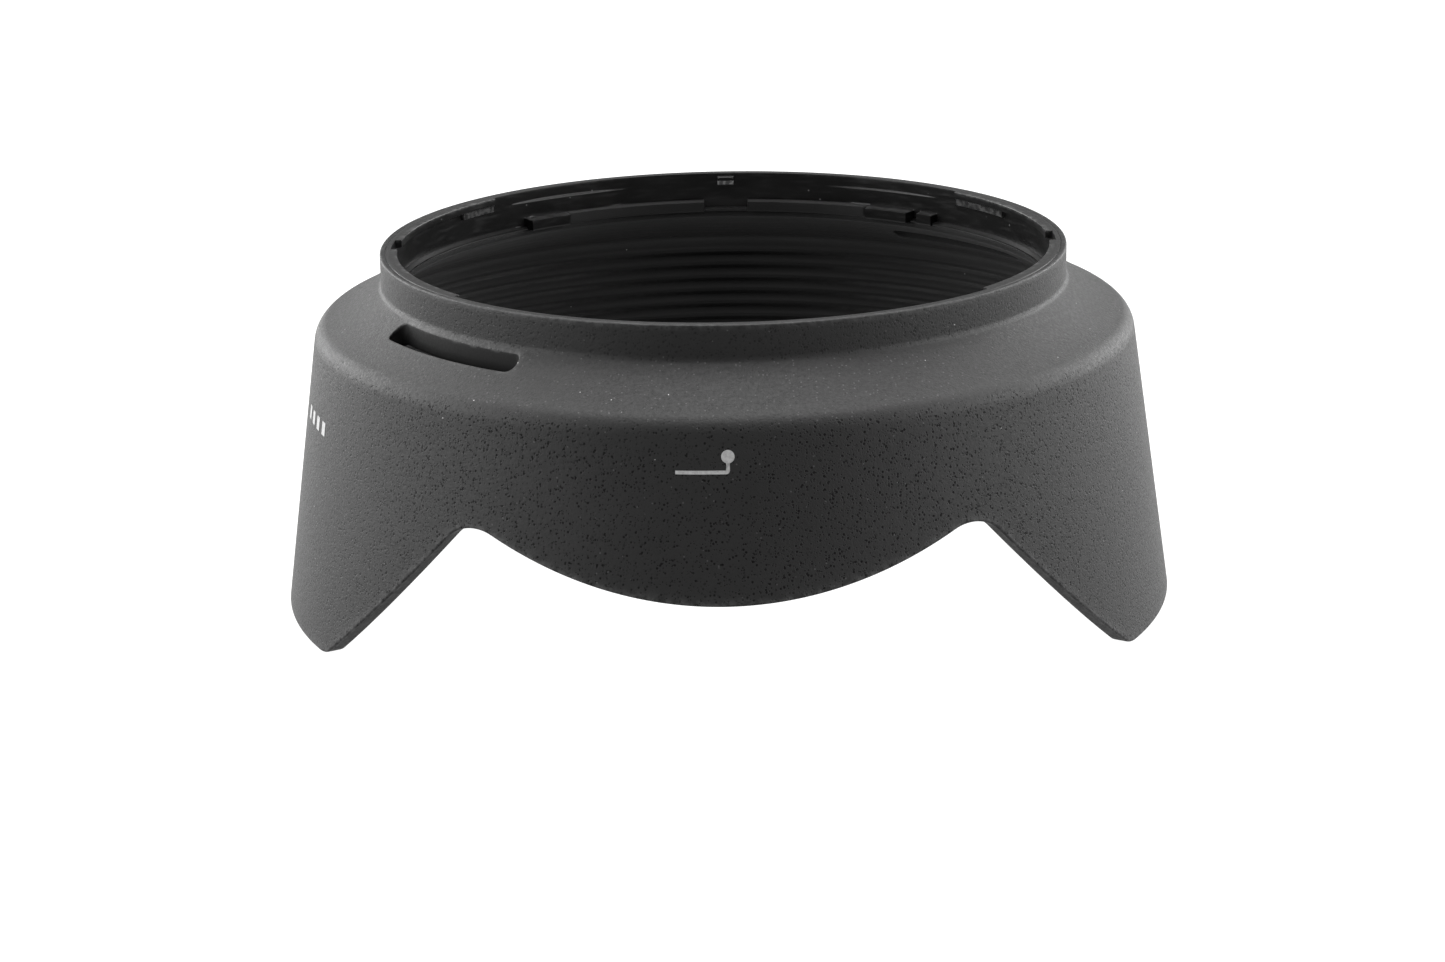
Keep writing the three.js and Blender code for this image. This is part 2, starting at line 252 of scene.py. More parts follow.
def petal_edge():
    """Angle and height of the petals' lower edge, from the front to the side."""
    slant = math.hypot(1, FLANK_RISE)
    along = np.array([-1, FLANK_RISE]) / slant
    into = np.array([-FLANK_RISE, -1]) / slant
    foot = np.array([FLANK_FOOT_X, 0.0])
    sole = foot + np.array([9, 0])  # any point farther out on the ground
    arc_centre = np.array([0.0, SHORT_PETAL_Z + SHORT_PETAL_ARC])
    reach = SHORT_PETAL_ARC + NOTCH_ROUND
    notch = on_line_at_distance(foot + into * NOTCH_ROUND, along, arc_centre, reach)
    arc_end = heading(arc_centre, notch)
    notch_end = heading(into, (0, 0))
    short_petal = arc(arc_centre, SHORT_PETAL_ARC, -math.pi / 2, arc_end, steps=200)
    notch_round = arc(notch, NOTCH_ROUND, arc_end + math.pi, notch_end, steps=60)
    foot_round = rounded_corner(notch_round[-1], foot, sole, FOOT_ROUND, steps=30)
    flank = line(notch_round[-1], foot_round[0], steps=80)
    x, z = np.concatenate([short_petal, notch_round[1:], flank, foot_round]).T
    return np.degrees(np.arcsin(x / cone_radius(z))), z


def cut_height(angles):
    """How high the shell is cut away at each angle, the same in all four quarters."""
    edge_angles, edge_z = petal_edge()
    folded = np.abs((np.asarray(angles) + 90) % 180 - 90)
    return np.interp(folded, edge_angles, edge_z)


# ---------------------------------------------------------------- mesh helpers


class Builder:
    """Vertices, faces with their material, and a value of wear with a painted highlight for each
    vertex.
    """

    def __init__(self):
        self.points = []
        self.wear_and_highlight = []
        self.faces = []
        self.materials = []

    def add_points(self, points, wear_and_highlight=0.0):
        """Adds an array of points and gives their numbers, in the same arrangement."""
        points = np.asarray(points, float)
        start = sum(len(p) for p in self.points)
        flat = points.reshape(-1, 3)
        self.points.append(flat)
        self.wear_and_highlight.append(np.broadcast_to(np.asarray(wear_and_highlight, float), points.shape[:-1]).reshape(-1))
        return np.arange(start, start + len(flat)).reshape(points.shape[:-1])

    def add_quads(self, grid, material, keep=None):
        """Quads between neighbouring rows of point numbers, each row a closed loop.

        The material is one number or one for each band of quads. Where keep is given, only the
        quads that it marks are made.
        """
        right = np.roll(grid, -1, axis=1)
        quads = np.stack([grid[:-1], right[:-1], right[1:], grid[1:]], axis=-1)
        kinds = np.broadcast_to(np.asarray(material), (quads.shape[0],))
        kinds = np.repeat(kinds[:, None], quads.shape[1], axis=1)
        if keep is None:
            keep = np.ones(quads.shape[:2], bool)
        self.faces.extend(quads[keep].tolist())
        self.materials.extend(kinds[keep].tolist())

    def stitch(self, loop, other, loop_flat, other_flat, material, flip):
        """Triangles between two closed loops of points, each point matched to the nearest."""
        gaps = np.linalg.norm(loop_flat[:, None] - other_flat[None], axis=-1)
        count = len(other)
        nearest = gaps.argmin(axis=1)
        start = nearest[0]
        ahead = (nearest - start) % count
        # A point near the loop's start may be nearest to one just before the other's start, and
        # one near its end to one just after it. Both then count as at that start.
        half = len(loop) // 2
        ahead[:half][ahead[:half] > 0.75 * count] = 0
        ahead[half:][ahead[half:] < 0.25 * count] = count
        steps = np.append(np.maximum.accumulate(ahead), count) + start
        for i in range(len(loop)):
            here, there = loop[i], loop[(i + 1) % len(loop)]
            triangles = [(here, there, other[steps[i] % count])]
            for j in range(steps[i], steps[i + 1]):
                triangles.append((there, other[(j + 1) % count], other[j % count]))
            for triangle in triangles:
                self.add_face(triangle, material, flip)

    def add_face(self, corners, material, flip=False):
        """One face; flip turns it to face the other way."""
        corners = [int(corner) for corner in corners]
        self.faces.append(corners[::-1] if flip else corners)
        self.materials.append(material)

    def finish(self, name, materials, sharp_angle=40.0):
        """Makes the mesh object, in metres, riding on the one body."""
        mesh = bpy.data.meshes.new(name)
        points = np.concatenate(self.points) * MM
        used = np.unique(np.concatenate([np.array(face) for face in self.faces]))
        renumbered = np.zeros(len(points), int)
        renumbered[used] = np.arange(len(used))
        faces = [[renumbered[corner] for corner in face] for face in self.faces]
        mesh.from_pydata(points[used].tolist(), [], faces)
        for material in materials:
            mesh.materials.append(material)
        mesh.polygons.foreach_set("material_index", self.materials)
        wear_and_highlight = mesh.attributes.new("wear_and_highlight", "FLOAT", "POINT")
        wear_and_highlight.data.foreach_set("value", np.concatenate(self.wear_and_highlight)[used])
        mesh.update()
        mesh.shade_smooth()
        mesh.set_sharp_from_angle(angle=math.radians(sharp_angle))
        piece = bpy.data.objects.new(name, mesh)
        bpy.context.scene.collection.objects.link(piece)
        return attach(piece, "root")


def turned_points(radius, z, angles):
    """Points at radius and height, both rows by columns, round Z."""
    turn = np.radians(angles)
    radius, z = np.broadcast_arrays(radius, z)
    return np.stack([radius * np.sin(turn), -radius * np.cos(turn), z], axis=-1)


# ---------------------------------------------------------------- the shell

OUTSIDE, EDGE, INSIDE = 0, 1, 2  # the shell's three finishes


def near(distance, reach):
    """Wear with its painted highlight, fading with the distance from an edge, in millimetres."""
    return np.exp(-np.maximum(distance, 0) / reach)


def shell_rows():
    """Radius, height, wear with painted highlight, and finish of each row of the shell, round its
    section.
    """
    cut = cut_height(SHELL_ANGLES)
    spacing = np.radians(360.0 / COLUMNS) * cone_radius(cut)
    slope = (np.roll(cut, -1) - np.roll(cut, 1)) / (2 * spacing)
    stretch = np.hypot(1, slope)  # makes the edge as round on a slanting cut as on a level one
    wall_foot = cut + EDGE_ROUND * stretch  # where the rounded edge ends and the wall starts
    edge_turns = np.linspace(0, math.pi / 2, EDGE_STEPS + 1)
    rows = []

    def add(radius, z, wear_and_highlight, finish):
        parts = np.broadcast_arrays(radius, z, wear_and_highlight, np.zeros(COLUMNS))[:3]
        rows.append((*parts, finish))

    for turn in edge_turns:  # from the cut face to the outside
        z = cut + EDGE_ROUND * stretch * (1 - math.cos(turn))
        add(cone_radius(z) - EDGE_ROUND * (1 - math.sin(turn)), z, 1.0, OUTSIDE)

    profile = shoulder_profile()
    cone_top = profile[0, 1]
    for step in range(1, CONE_STEPS):  # closer together near the cut edge
        z = wall_foot + (cone_top - wall_foot) * (step / CONE_STEPS) ** 1.5
        wear_and_highlight = near((z - wall_foot) / stretch, OUTSIDE_WEAR_AND_HIGHLIGHT_REACH)
        add(cone_radius(z), z, wear_and_highlight, OUTSIDE)
    for radius, z in profile:
        rim_distance = math.hypot(radius - COLLAR_RADIUS, z - HEIGHT) - RIM_ROUND
        wear_and_highlight = 0.5 * near(rim_distance, RIM_WEAR_AND_HIGHLIGHT_REACH)
        add(radius, z, wear_and_highlight, OUTSIDE if z < HEIGHT - 1e-6 else EDGE)  # flat on top of the rim

    for radius, z in lining_profile():
        add(radius, z, 0.0, INSIDE)

    baffles = baffle_profile()
    bottom = baffles[-1, 1]
    room = wall_foot + BAFFLE_CLEARANCE
    # The higher of the lowest baffle and the room above the cut edge, with a soft changeover.
    lifted = (bottom + room + np.hypot(bottom - room, BAFFLE_BLEND)) / 2
    squeeze = (BAFFLE_SQUEEZE_Z - lifted) / (BAFFLE_SQUEEZE_Z - bottom)
    fade = np.clip(squeeze, 0, 1) ** 2
    for radius, z in baffles:
        if z < BAFFLE_SQUEEZE_Z:
            groove = radius - inside_radius(z)
            z = BAFFLE_SQUEEZE_Z - (BAFFLE_SQUEEZE_Z - z) * squeeze
            radius = inside_radius(z) + groove * fade
        add(radius, z, 0.0, INSIDE)

    for step in range(1, INSIDE_STEPS):
        z = lifted + (wall_foot - lifted) * (step / INSIDE_STEPS)
        wear_and_highlight = 0.6 * near((z - wall_foot) / stretch, INSIDE_WEAR_AND_HIGHLIGHT_REACH)
        add(inside_radius(z), z, wear_and_highlight, INSIDE)
    for turn in edge_turns[::-1]:  # from the inside to the cut face
        z = cut + EDGE_ROUND * stretch * (1 - math.cos(turn))
        add(inside_radius(z) + EDGE_ROUND * (1 - math.sin(turn)), z, 0.8, EDGE)
    for share in (0.25, 0.5, 0.75):  # across the cut face
        radius = inside_radius(cut) + EDGE_ROUND + share * (WALL - 2 * EDGE_ROUND)
        add(radius, cut, 0.3, EDGE)
    return rows


def slot_outline():
    """A slot's outline seen from above, and the way out of the slot at each of its points.

    Points are along the slot's circle and across it, from its middle. The outline starts halfway
    round a corner, so that corner comes in two parts.
    """
    half_length = math.radians(SLOT_SPAN / 2) * SLOT_RADIUS - SLOT_ROUND
    half_width = (SLOT_OUTER_RADIUS - SLOT_INNER_RADIUS) / 2 - SLOT_ROUND
    # Which end and which side each corner is at, and the angles that its round goes through.
    corners = [
        (-1, -1, 225, 270),
        (1, -1, 270, 360),
        (1, 1, 0, 90),
        (-1, 1, 90, 180),
        (-1, -1, 180, 225),
    ]
    points = []
    normals = []
    for end, side, first, last in corners:
        centre = np.array([end * half_length, side * half_width])
        for angle in np.radians(np.linspace(first, last, (last - first) // 15 + 1)):
            out = np.array([math.cos(angle), math.sin(angle)])
            point = centre + SLOT_ROUND * out
            if points and np.linalg.norm(point - points[-1]) > 1:  # a long straight side
                straight = line(points[-1], point, steps=60)
                points.extend(straight)
                normals.extend([out] * len(straight))
            points.append(point)
            normals.append(out)
    return np.array(points[:-1]), np.array(normals[:-1])


def slot_place(flat, z, centre):
    """Points given along and across a slot (across grows towards the collar), round Z."""
    angles = centre + np.degrees(flat[:, 0] / SLOT_RADIUS)
    return turned_points(SLOT_RADIUS - flat[:, 1], z, angles)


def slot_flat(radius, angles, centre):
    """The other way: points round Z given along and across a slot."""
    along = np.radians((angles - centre + 180) % 360 - 180) * SLOT_RADIUS
    return np.stack([along, SLOT_RADIUS - radius], axis=-1)


def hole_rows(radius, first, last):
    """The two rows, from first to last, nearest to the outer and inner side of a slot's hole."""
    rows = np.arange(first, last)
    level = radius[first:last, 0]
    clear_out = SLOT_OUTER_RADIUS + SLOT_MARGIN
    clear_in = max(SLOT_INNER_RADIUS - SLOT_MARGIN, COLLAR_RADIUS + COLLAR_MARGIN)
    wide = rows[np.argmin(np.abs(level - clear_out))]
    narrow = rows[np.argmin(np.abs(level - clear_in))]
    return wide, narrow


def hole_loop(wide, narrow, left, right):
    """Rows and columns round a hole, in order, from the left end of its outer side."""
    step = 1 if narrow > wide else -1
    loop = [(wide, column) for column in range(left, right)]
    loop += [(row, right) for row in range(wide, narrow, step)]
    loop += [(narrow, column) for column in range(right, left, -1)]
    loop += [(row, left) for row in range(narrow, wide, -step)]
    return np.array(loop).T


def make_slot(builder, grid, radius, z, spans, centre):
    """One slot through the shoulder: rounded edges, walls, and the surface made good round it."""
    outline, normals = slot_outline()
    half = SLOT_SPAN / 2 + math.degrees(SLOT_MARGIN / SLOT_RADIUS)
    left = round((centre - half) % 360 * COLUMNS / 360)
    right = round((centre + half) % 360 * COLUMNS / 360)
    holes = []
    surfaces = []
    for first, last in spans:
        wide, narrow = hole_rows(radius, first, last)
        holes.append((min(wide, narrow), max(wide, narrow), left, right))
        rows, columns = hole_loop(wide, narrow, left, right)
        flat = slot_flat(radius[rows, columns], SHELL_ANGLES[columns], centre)
        outwards = np.argsort(radius[first:last, 0])
        levels = (radius[first:last, 0][outwards], z[first:last, 0][outwards])
        surfaces.append((grid[rows, columns], flat, levels))
    (top_loop, top_flat, top_levels), (low_loop, low_flat, low_levels) = surfaces

    def surface(offset, levels):
        """The outline moved out by offset, and the height of a surface of the shell there."""
        flat = outline + normals * offset
        return flat, np.interp(SLOT_RADIUS - flat[:, 1], *levels)

    loops = []
    for turn in np.linspace(0, math.pi / 2, TOP_EDGE_LOOPS):  # over the upper edge
        flat, height = surface(SLOT_EDGE_ROUND * (1 - math.sin(turn)), top_levels)
        loops.append((flat, height - SLOT_EDGE_ROUND * (1 - math.cos(turn)), 0.5))
    flat, low = surface(0.0, low_levels)
    upper = loops[-1][1]
    for share in (0.12, 0.3, 0.6, 0.9):  # down the wall
        loops.append((flat, upper * (1 - share) + (low + SLOT_EDGE_ROUND) * share, 0.0))
    for turn in np.linspace(math.pi / 2, 0, 4):  # round the lower edge
        flat, height = surface(SLOT_EDGE_ROUND * (1 - math.sin(turn)), low_levels)
        loops.append((flat, height + SLOT_EDGE_ROUND * (1 - math.cos(turn)), 0.0))
    numbers = [
        builder.add_points(slot_place(flat, height, centre), wear_and_highlight)
        for flat, height, wear_and_highlight in loops
    ]
    edge_bands = TOP_EDGE_LOOPS - 1
    finishes = [OUTSIDE] * edge_bands + [EDGE] * (len(loops) - 1 - edge_bands)
    builder.add_quads(np.array(numbers), finishes)
    builder.stitch(top_loop, numbers[0], top_flat, loops[0][0], OUTSIDE, flip=False)
    builder.stitch(low_loop, numbers[-1], low_flat, loops[-1][0], INSIDE, flip=True)
    return holes


def row_span(chosen):
    """The first of the chosen rows, and the row just past the last of them."""
    rows = np.flatnonzero(chosen)
    return rows[0], rows[-1] + 1


def make_shell(materials):
    builder = Builder()
    rows = shell_rows()
    radius, z, wear_and_highlight = (np.array([row[part] for row in rows]) for part in range(3))
    finishes = np.array([row[3] for row in rows])
    grid = builder.add_points(turned_points(radius, z, SHELL_ANGLES), wear_and_highlight)

    # The slots go through the rows of the shoulder and of the funnel under it.
    lowest = z.min(axis=1)
    narrowest = radius.min(axis=1)
    shoulder = (finishes == OUTSIDE) & (lowest > SHOULDER_EDGE_Z - 1)
    shoulder &= narrowest > COLLAR_RADIUS + TOLERANCE
    funnel = (finishes == INSIDE) & (lowest > FUNNEL_FOOT_Z - 1)
    funnel &= (narrowest > SLOT_INNER_RADIUS - 2) & (z.max(axis=1) < RING_FLOOR_Z - LEDGE_DROP)
    spans = [row_span(shoulder), row_span(funnel)]

    keep = np.ones(grid.shape, bool)
    for centre in (SLOT_CENTRE, SLOT_CENTRE + 180):
        for first, last, left, right in make_slot(builder, grid, radius, z, spans, centre):
            keep[first:last, left:right] = False
    closed = np.concatenate([grid, grid[:1]])  # the section runs round to its first row
    builder.add_quads(closed, finishes, keep=keep)
    shell = builder.finish("petal_shell_fine", materials)
    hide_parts("petal_shell")


# ---------------------------------------------------------------- the bayonet ring

RING_SMOOTH, RING_DULL, RING_TOP = 0, 1, 2  # the ring's three finishes

LUG_FOOT_Z = HEIGHT - 1.0
RAMP_FOOT_Z = HEIGHT - 1.9
PAD_TOP_Z = 41.8
STOP_TOP_Z = 39.6
# A block that runs through the rim or the lip ends past it.
PAST_RIM = HEIGHT + 1
PAST_LIP = RING_FLOOR_Z - 1

# Raised blocks in the bore: inner radius, from and to in degrees off the middle of the back,
# positive towards +X, lowest and highest. Each is there twice, half a turn apart.
RING_BLOCKS = [
    (39.9, 48.8, 86.5, LUG_FOOT_Z, PAST_RIM),  # the lugs at the rim
    (39.9, -86.5, -48.8, LUG_FOOT_Z, PAST_RIM),
    (40.25, 48.8, 62.5, RAMP_FOOT_Z, PAST_RIM),  # a ramp under one end of each lug
    (40.25, -57.3, -48.8, RAMP_FOOT_Z, PAST_RIM),
    (40.6, 19.0, 44.0, PAST_LIP, PAD_TOP_Z),  # low pads
    (40.4, -44.0, -19.0, PAST_LIP, PAD_TOP_Z),
    (39.6, 4.2, 38.0, PAST_LIP, STOP_TOP_Z),  # stop ledges
    (39.6, -41.0, -4.2, PAST_LIP, STOP_TOP_Z),
    (38.9, 28.5, 38.0, PAST_LIP, STOP_TOP_Z),  # a thicker block at the end of each ledge
    (38.9, -41.0, -32.0, PAST_LIP, STOP_TOP_Z),
    (39.6, 39.6, 43.3, PAST_LIP, STOP_TOP_Z),  # a key beyond the right one
]
# The nib at the middle of the back is there once. Its angles start from the front.
NIB = (40.35, 178.5, 181.5, 41.7, 42.8)

# The stop ledges have the shell's dull finish between these angles off the middle of the back.
DULL_FROM = -31.6
DULL_TO = 28.1
DULL_TOP_Z = 39.72

STEP_WIDTH = 0.16  # how far each step in the bore takes, so that its edges are round
PAD_TAPER = 5.0  # the pads run out into the bore over this length
RING_COLUMN = 0.75  # degrees between columns, away from the ends of blocks
RING_ROWS = 22  # down the bore, away from the tops and feet of blocks
RING_RIM_ROUND = 0.1
RING_EDGE_ROUND = 0.05
LAST_GAP = 0.02  # no row comes nearer than this to the rim's rounding

# Wear with a painted highlight along the rim, strongest on the lugs, and on the top edges of the
# blocks; rubbing on the nib and the ramps.
LUG_WEAR_AND_HIGHLIGHT = 0.6
RIM_WEAR_AND_HIGHLIGHT = 0.1
TOP_EDGE_WEAR_AND_HIGHLIGHT = 0.25
NIB_WEAR = 2.6
RAMP_WEAR = 0.7
RING_RIM_WEAR_AND_HIGHLIGHT_REACH = 0.15
TOP_EDGE_WEAR_AND_HIGHLIGHT_REACH = 0.07


def soft_step(distance):
    """From 0 to 1 over one step's width, halfway up where the distance is 0."""
    share = np.clip(distance / STEP_WIDTH + 0.5, 0, 1)
    return share * share * (3 - 2 * share)


def ring_blocks():
    """Every raised block in the bore, with its angles from the front, round the whole circle."""
    blocks = [NIB]
    for inner, start, end, low, high in RING_BLOCKS:
        for turn in (0, 180):
            blocks.append((inner, (turn - end) % 360, (turn - start) % 360, low, high))
    return blocks


def with_edges(evenly, edges, width):
    """Even positions with extra ones across each edge, so that each step is finely cut."""
    offsets = width * np.array([-0.55, -0.28, 0.0, 0.28, 0.55])
    dense = (np.array(sorted(edges))[:, None] + offsets).ravel()
    spare = [p for p in evenly if np.abs(dense - p).min() > 0.3 * width]
    joined = np.sort(np.concatenate([dense, spare]))
    apart = np.diff(joined) > 0.08 * width
    return joined[np.concatenate([[True], apart])]


def block_angles(blocks):
    """The angles of the ring's columns, closer together where a block starts or ends."""
    edges = {angle for _, start, end, _, _ in blocks for angle in (start, end)}
    evenly = np.arange(0, 360, RING_COLUMN)
    return with_edges(evenly, edges, math.degrees(STEP_WIDTH / RING_BORE_RADIUS))


def block_heights(blocks):
    """The heights of the rows down the ring's bore, from the rim's rounding to the lip."""
    rim_foot = HEIGHT - RING_RIM_ROUND
    edges = {LIP_TOP_Z}
    for _, _, _, low, high in blocks:
        edges |= {edge for edge in (low, high) if LIP_TOP_Z < edge < rim_foot}
    lowest = RING_FLOOR_Z + RING_EDGE_ROUND
    evenly = np.linspace(lowest + TOLERANCE, rim_foot, RING_ROWS)
    heights = with_edges(evenly, edges, STEP_WIDTH)
    return heights[(heights > lowest) & (heights < rim_foot - LAST_GAP)][::-1]


def between(angles, block):
    """1 between a block's two ends and 0 outside them, with a step or, for a pad, a taper."""
    _, start, end, _, high = block
    span = (end - start) % 360
    past = (angles - start + 180 - span / 2) % 360 - 180 + span / 2
    inside = np.radians(np.minimum(past, span - past)) * RING_BORE_RADIUS
    if high == PAD_TOP_Z:
        return np.clip(inside / PAD_TAPER, 0, 1)
    return soft_step(inside)


def bore_radius(angles, z, blocks):
    """The radius of the ring's bore at each angle, at one height."""
    depth = (RING_BORE_RADIUS - LIP_RADIUS) * soft_step(LIP_TOP_Z - z) * np.ones(len(angles))
    for block in blocks:
        inner, _, _, low, high = block
        mask = between(angles, block) * soft_step(z - low) * soft_step(high - z)
        depth = np.maximum(depth, (RING_BORE_RADIUS - inner) * mask)
    return RING_BORE_RADIUS - depth


def ring_wear_and_highlight(angles, radius, z, blocks):
    """Rubbing with a painted highlight along the rim and on the top edges of the blocks, and
    rubbing on the nib and on the ramps.
    """
    rim_radius = bore_radius(angles, HEIGHT, blocks)
    rim_distance = np.hypot(radius - rim_radius, z - HEIGHT)
    at_rim = near(rim_distance - RING_RIM_ROUND, RING_RIM_WEAR_AND_HIGHLIGHT_REACH)
    on_lug = rim_radius < RING_BORE_RADIUS - 0.3
    wear_and_highlight = np.where(on_lug, LUG_WEAR_AND_HIGHLIGHT, RIM_WEAR_AND_HIGHLIGHT) * at_rim
    for block in blocks:
        _, _, _, low, high = block
        on_block = between(angles, block) * (radius < RING_BORE_RADIUS - TOLERANCE)
        if high < HEIGHT:
            top_edge = near(np.abs(z - high), TOP_EDGE_WEAR_AND_HIGHLIGHT_REACH)
            wear_and_highlight = np.maximum(wear_and_highlight, TOP_EDGE_WEAR_AND_HIGHLIGHT * on_block * top_edge)
        if block == NIB or low == RAMP_FOOT_Z:
            rubbed = NIB_WEAR if block == NIB else RAMP_WEAR
            on_face = (z > low) * (z < high) * (z < LUG_FOOT_Z)
            wear_and_highlight = np.maximum(wear_and_highlight, rubbed * on_block * on_face)
    return wear_and_highlight


def make_ring(materials):
    blocks = ring_blocks()
    angles = block_angles(blocks)
    rows = []

    def add(radius, z):
        rows.append(np.broadcast_arrays(radius, z, np.zeros(len(angles)))[:2])

    for z in np.linspace(RING_FLOOR_Z, HEIGHT - RING_EDGE_ROUND, 5):  # up the outside
        add(RING_OUTER_RADIUS, z)
    outer_top = RING_OUTER_RADIUS - RING_EDGE_ROUND
    inner_top = bore_radius(angles, HEIGHT, blocks)
    add(outer_top, HEIGHT)
    add((outer_top + inner_top + RING_RIM_ROUND) / 2, HEIGHT)
    for turn in np.linspace(0, math.pi / 2, 5):  # over the rim
        radius = inner_top + RING_RIM_ROUND * (1 - math.sin(turn))
        add(radius, HEIGHT - RING_RIM_ROUND * (1 - math.cos(turn)))
    for z in block_heights(blocks):  # down the bore
        add(bore_radius(angles, z, blocks), z)
    add(bore_radius(angles, RING_FLOOR_Z, blocks) + RING_EDGE_ROUND, RING_FLOOR_Z)

    radius, z = (np.array([row[part] for row in rows]) for part in range(2))
    builder = Builder()
    wear_and_highlight = ring_wear_and_highlight(angles, radius, z, blocks)
    grid = builder.add_points(turned_points(radius, z, angles), wear_and_highlight)
    closed = np.concatenate([grid, grid[:1]])

    off_middle = (90 - angles) % 180 - 90  # of the back or, half a turn on, of the front
    dull = (off_middle > DULL_FROM) & (off_middle < DULL_TO)
    dull = dull & (z < DULL_TOP_Z) & (radius < RING_BORE_RADIUS + TOLERANCE)
    finishes = np.where(z.min(axis=1) > HEIGHT - TOLERANCE, RING_TOP, RING_SMOOTH)
    builder.add_quads(closed, finishes, keep=~dull)
    builder.add_quads(closed, RING_DULL, keep=dull)
    ring = builder.finish("bayonet_ring_fine", materials, sharp_angle=50)
    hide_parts("bayonet_ring")


# ---------------------------------------------------------------- the printing

INK_THICKNESS = 0.04
OUTLINE_SPACING = 0.12  # the farthest apart that points along an outline are
DOT_ANGLE = 0.85
DOT_Z = 30.83
DOT_RADIUS = 0.73
LEADER_Z = 29.12
LEADER_WIDTH = 0.39
LEADER_LENGTH = 5.95
LEADER_BEND = 0.42
LEADER_INNER_BEND = 0.08
TICK_COUNT = 4
TICK_FIRST = -67.4
TICK_STEP = -2.9
TICK_SIZE = (1.3, 1.6)
TICK_ROUND = 0.12
TICK_Z = 25.6


def closed_outline(corners):
    """A closed outline with points added along its long straight stretches."""
    points = []
    for start, end in zip(corners, np.roll(corners, -1, axis=0)):
        points.append(start)
        steps = math.ceil(np.linalg.norm(end - start) / OUTLINE_SPACING)
        points.extend(line(start, end, max(1, steps)))
    return np.array(points)


def index_outline():
    """A dot with a line that drops from it and turns left, from the dot's middle."""
    half = LEADER_WIDTH / 2
    upper = LEADER_Z - DOT_Z + half
    lower = LEADER_Z - DOT_Z - half
    left = half - LEADER_LENGTH
    join = math.asin(half / DOT_RADIUS)
    outer = rounded_corner((left, lower), (half, lower), (half, 0), LEADER_BEND, steps=8)
    dot = arc((0, 0), DOT_RADIUS, join - math.pi / 2, 1.5 * math.pi - join, steps=48)
    inner = rounded_corner((-half, 0), (-half, upper), (left, upper), LEADER_INNER_BEND, steps=3)
    ends = np.array([(left, upper), (left, lower)])
    return closed_outline(np.concatenate([outer, dot, inner, ends]))


def tick_outline():
    """An upright bar with rounded corners, from its middle."""
    width, height = TICK_SIZE
    corners = [(-width, -height), (width, -height), (width, height), (-width, height)]
    corners = [np.array(corner) / 2 for corner in corners]
    rounds = [
        rounded_corner(corners[i - 1], corners[i], corners[(i + 1) % 4], TICK_ROUND, steps=3)
        for i in range(4)
    ]
    return closed_outline(np.concatenate(rounds))


def make_print(name, node, outline, angle, z, material):
    """Ink on the cone: a thin plate of that outline, wrapped round the shell."""
    count = len(outline)
    edges = [(i, (i + 1) % count) for i in range(count)]
    spread = [Vector(point) for point in outline]
    flat, _, triangles, _, _, _ = delaunay_2d_cdt(spread, edges, [], 1, 1e-6)
    flat = np.array([tuple(point) for point in flat])
    height = z + flat[:, 1]
    surface = cone_radius(height)
    angles = angle + np.degrees(flat[:, 0] / surface)
    builder = Builder()
    front = builder.add_points(turned_points(surface + INK_THICKNESS, height, angles))
    back = builder.add_points(turned_points(surface - INK_THICKNESS, height, angles))
    for triangle in triangles:
        builder.add_face([front[i] for i in triangle], 0)
        builder.add_face([back[i] for i in reversed(triangle)], 0)
    for i, j in edges:
        builder.add_face([back[i], back[j], front[j], front[i]], 0)
    piece = builder.finish(name, [material])
    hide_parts(node)


def make_printing(material):
    make_print("index_mark_fine", "index_mark", index_outline(), DOT_ANGLE, DOT_Z, material)
    for index in range(TICK_COUNT):
        node = f"side_tick_{index + 1}"
        angle = TICK_FIRST + index * TICK_STEP
        make_print(node + "_fine", node, tick_outline(), angle, TICK_Z, material)


# ---------------------------------------------------------------- finishes


